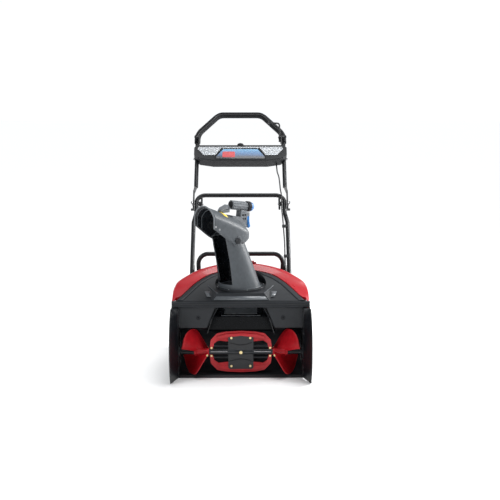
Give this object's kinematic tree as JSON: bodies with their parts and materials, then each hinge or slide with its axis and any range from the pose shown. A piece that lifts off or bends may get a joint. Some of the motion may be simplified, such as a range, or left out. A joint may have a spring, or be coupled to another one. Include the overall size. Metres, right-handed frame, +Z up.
{
  "type": "snow blower",
  "caption": "Single-stage battery snow blower with a paddle rotor, a turning discharge chute, two rear wheels and a leaning push handle with a lamp console.",
  "frame": {"origin": "on the ground, midway between the sides and midway along the overall length", "axes": "-Y towards the intake and the way the machine is pushed, +Y towards the operator, +Z up, +X to the right of someone facing the intake"},
  "size_m": [0.57, 1.1702, 1.0642],
  "materials": {
    "housing_black": "moulded black",
    "throat_black": "smooth black",
    "plate_black": "black powder coat",
    "shroud_red": "glossy red",
    "paddle_red": "red moulded rubber",
    "scraper": "worn black",
    "steel": "zinc plated",
    "bolt_gold": "yellow zinc",
    "chute_grey": "mid grey moulded",
    "grip_grey": "grey ribbed",
    "accent_blue": "blue",
    "tyre": "black tread",
    "rim": "dark grey",
    "battery": "dark grey",
    "electronics": "cast aluminium",
    "tube_black": "black powder coat",
    "foam": "black foam",
    "console": "textured black",
    "lens": "clear ribbed",
    "reflector": "bright reflector",
    "label_blue": "blue gradient",
    "belt": "black ribbed",
    "cable": "black sheath",
    "motor_can": "black can"
  },
  "bodies": {
    "base": {"rotor_housing": "housing_black", "discharge_throat": "throat_black", "side_plates": "plate_black", "skids": "scraper", "side_covers": "housing_black", "intake_lip": "housing_black", "scraper_bar": "scraper", "rotor_bearings": "steel", "idler_arm": "steel", "drive_belt": "belt", "drive_motor": "motor_can", "hood": "housing_black", "shroud": "shroud_red", "chassis": "housing_black", "axle": "steel", "hub_caps": "rim", "lid_hinge": "shroud_red", "controller_box": "electronics", "lower_handle": "tube_black", "leg_brackets": "plate_black", "carry_bar": "tube_black", "lower_cable": "cable", "cable_clips": "console"},
    "rotor": {"rotor_shaft": "steel", "flights": "paddle_red", "paddles": "paddle_red", "centre_plate": "plate_black", "rotor_fasteners": "bolt_gold", "rotor_pulley": "steel"},
    "motor_rotor": {"motor_shaft": "steel", "motor_pulley": "steel"},
    "belt_idler": {"idler_pulley": "steel"},
    "right_wheel": {"right_tyre": "tyre", "right_rim": "rim"},
    "left_wheel": {"left_tyre": "tyre", "left_rim": "rim"},
    "chute": {"chute_flange": "chute_grey", "chute_body": "chute_grey", "deflector_pins": "console"},
    "deflector_hood": {"deflector": "chute_grey", "chute_grip": "grip_grey", "grip_cap": "accent_blue"},
    "trigger": {"deflector_trigger": "accent_blue"},
    "battery": {"battery_pack": "battery"},
    "lid": {"battery_lid": "shroud_red"},
    "handle_top": {"upper_handle": "tube_black", "handle_grip": "foam", "handle_bolts": "steel", "lever_brackets": "plate_black", "console_front": "console", "console_back": "console", "headlight_lens": "lens", "headlight_bowls": "reflector", "label_panel": "label_blue", "upper_cable": "cable"},
    "right_knob": {"right_fold_knob": "console"},
    "left_knob": {"left_fold_knob": "console"},
    "operator_bail": {"bail": "tube_black"},
    "arming_lever": {"start_lever": "tube_black"},
    "power_button": {"start_button": "console"}
  },
  "joints": [
    {"name": "rotor_spin", "type": "hinge", "parent": "base", "child": "rotor", "pos_m": [0, -0.4328, 0.102], "axis": [1, 0, 0], "continuous": true},
    {"name": "motor_spin", "type": "hinge", "parent": "base", "child": "motor_rotor", "pos_m": [0, -0.2768, 0.19], "axis": [1, 0, 0], "continuous": true},
    {"name": "idler_spin", "type": "hinge", "parent": "base", "child": "belt_idler", "pos_m": [0, -0.32337, 0.11807], "axis": [1, 0, 0], "continuous": true},
    {"name": "right_wheel_spin", "type": "hinge", "parent": "base", "child": "right_wheel", "pos_m": [0, -0.0748, 0.101], "axis": [1, 0, 0], "continuous": true},
    {"name": "left_wheel_spin", "type": "hinge", "parent": "base", "child": "left_wheel", "pos_m": [0, -0.0748, 0.101], "axis": [1, 0, 0], "continuous": true},
    {"name": "chute_turn", "type": "hinge", "parent": "base", "child": "chute", "pos_m": [0, -0.3098, 0.357], "axis": [0, 0, 1], "range_deg": [-53, 157]},
    {"name": "deflector_tilt", "type": "hinge", "parent": "chute", "child": "deflector_hood", "pos_m": [-0.05674, -0.35413, 0.562], "axis": [0.6157, -0.788, 0], "range_deg": [0, 38]},
    {"name": "trigger_squeeze", "type": "hinge", "parent": "deflector_hood", "child": "trigger", "pos_m": [0.02561, -0.28979, 0.656], "axis": [-0.6157, 0.788, 0], "range_deg": [0, 10], "stiffness_Nm_per_rad": 0.5},
    {"name": "lid_open", "type": "hinge", "parent": "base", "child": "lid", "pos_m": [0, -0.1788, 0.431], "axis": [1, 0, 0], "range_deg": [0, 75]},
    {"name": "battery_lift", "type": "slide", "parent": "base", "child": "battery", "axis": [0, 0, 1], "range_m": [0, 0.04]},
    {"name": "handle_fold", "type": "hinge", "parent": "base", "child": "handle_top", "pos_m": [0, 0.20419, 0.63874], "axis": [-1, 0, 0], "range_deg": [0, 125]},
    {"name": "right_knob_turn", "type": "hinge", "parent": "handle_top", "child": "right_knob", "pos_m": [0, 0.20419, 0.63874], "axis": [1, 0, 0], "continuous": true},
    {"name": "left_knob_turn", "type": "hinge", "parent": "handle_top", "child": "left_knob", "pos_m": [0, 0.20419, 0.63874], "axis": [1, 0, 0], "continuous": true},
    {"name": "bail_squeeze", "type": "hinge", "parent": "handle_top", "child": "operator_bail", "pos_m": [0, 0.44256, 0.94084], "axis": [-1, 0, 0], "range_deg": [0, 13], "stiffness_Nm_per_rad": 6},
    {"name": "arming_lever_push", "type": "hinge", "parent": "handle_top", "child": "arming_lever", "pos_m": [0, 0.44256, 0.94084], "axis": [1, 0, 0], "range_deg": [0, 20], "stiffness_Nm_per_rad": 0.6},
    {"name": "power_button_press", "type": "slide", "parent": "handle_top", "child": "power_button", "axis": [0, -0.6691, -0.7431], "range_m": [0, 0.005], "stiffness_N_per_m": 300}
  ],
  "couplings": [
    {"joint": "motor_spin", "follows": "rotor_spin", "ratio": 2.75},
    {"joint": "idler_spin", "follows": "rotor_spin", "ratio": -3.025},
    {"joint": "battery_lift", "follows": "lid_open", "m_per_rad": 0.0305}
  ]
}
